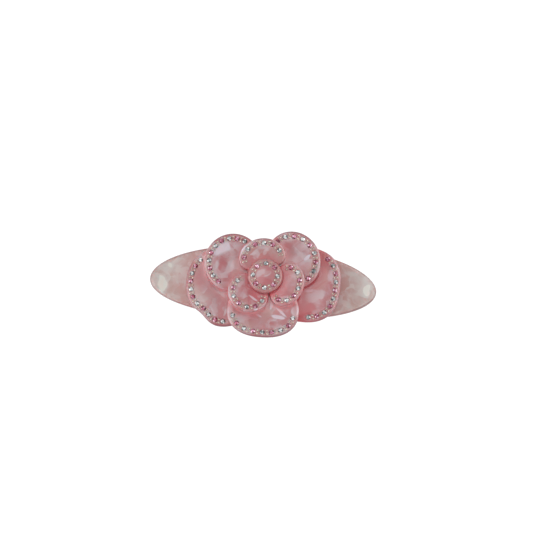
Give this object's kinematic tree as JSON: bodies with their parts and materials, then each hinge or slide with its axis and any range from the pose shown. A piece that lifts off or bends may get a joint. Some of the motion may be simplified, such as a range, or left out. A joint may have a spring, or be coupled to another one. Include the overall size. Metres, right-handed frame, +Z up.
{
  "type": "flower hair barrette",
  "caption": "Pink pearl acetate flower barrette: layered petals edged with clear and rose stones on an arched oval plate, over a sprung hair clip with a swinging arm and pinch catch.",
  "frame": {"origin": "centre of the flat underside of the closed clip arm, on which the barrette rests", "axes": "+X along the plate from the hinge end to the catch end, +Y across it, +Z up through the flower"},
  "size_m": [0.1, 0.047, 0.0261],
  "materials": {
    "petal_acetate": "polished pearlescent pink cellulose acetate",
    "plate_acetate": "polished pale pearlescent cellulose acetate",
    "clear_stone": "cut and foiled clear glass",
    "rose_stone": "cut and foiled rose glass",
    "seed_stone": "tiny pale foiled glass",
    "clip_steel": "pressed nickel-plated steel",
    "bright_steel": "bright nickel plate",
    "spring_steel": "nickel-plated spring steel"
  },
  "bodies": {
    "barrette": {"base_plate": "plate_acetate", "petal_lower_left": "petal_acetate", "petal_lower_right": "petal_acetate", "petal_upper_left": "petal_acetate", "petal_upper_right": "petal_acetate", "petal_bottom": "petal_acetate", "inner_petal_top": "petal_acetate", "inner_petal_left": "petal_acetate", "inner_petal_right": "petal_acetate", "flower_centre": "petal_acetate", "crystals_lower_left": "clear_stone", "crystals_lower_right": "clear_stone", "crystals_upper_left": "clear_stone", "crystals_upper_right": "clear_stone", "crystals_bottom": "clear_stone", "crystals_inner_top": "clear_stone", "crystals_inner_left": "clear_stone", "crystals_inner_right": "clear_stone", "crystals_centre": "clear_stone", "rose_stones_lower_left": "rose_stone", "rose_stones_lower_right": "rose_stone", "rose_stones_upper_left": "rose_stone", "rose_stones_upper_right": "rose_stone", "rose_stones_bottom": "rose_stone", "rose_stones_inner_top": "rose_stone", "rose_stones_inner_left": "rose_stone", "rose_stones_inner_right": "rose_stone", "rose_stones_centre": "rose_stone", "seed_stones_lower_left": "seed_stone", "seed_stones_lower_right": "seed_stone", "seed_stones_upper_left": "seed_stone", "seed_stones_upper_right": "seed_stone", "seed_stones_bottom": "seed_stone", "seed_stones_inner_top": "seed_stone", "seed_stones_inner_left": "seed_stone", "seed_stones_inner_right": "seed_stone", "seed_stones_centre": "seed_stone", "clip_base": "clip_steel", "clip_rivets": "bright_steel", "hinge_pin": "bright_steel"},
    "arm": {"clip_arm": "clip_steel"},
    "bow": {"tension_bow": "spring_steel"},
    "prong_front": {"catch_prong_front": "clip_steel"},
    "prong_rear": {"catch_prong_rear": "clip_steel"}
  },
  "joints": [
    {"name": "arm_swing", "type": "hinge", "parent": "barrette", "child": "arm", "pos_m": [-0.0365, 0, 0.002], "axis": [0, 1, 0], "range_deg": [0, 85]},
    {"name": "prong_front_pinch", "type": "hinge", "parent": "barrette", "child": "prong_front", "pos_m": [0.0365, -0.0018, 0.0042], "axis": [1, 0, 0], "range_deg": [0, 12], "stiffness_Nm_per_rad": 0.05},
    {"name": "prong_rear_pinch", "type": "hinge", "parent": "barrette", "child": "prong_rear", "pos_m": [0.0365, 0.0018, 0.0042], "axis": [-1, 0, 0], "range_deg": [0, 12], "stiffness_Nm_per_rad": 0.05},
    {"name": "bow_press", "type": "slide", "parent": "arm", "child": "bow", "axis": [0, 0, -1], "range_m": [0, 0.002], "stiffness_N_per_m": 1500, "deforming": ["tension_bow"]}
  ]
}
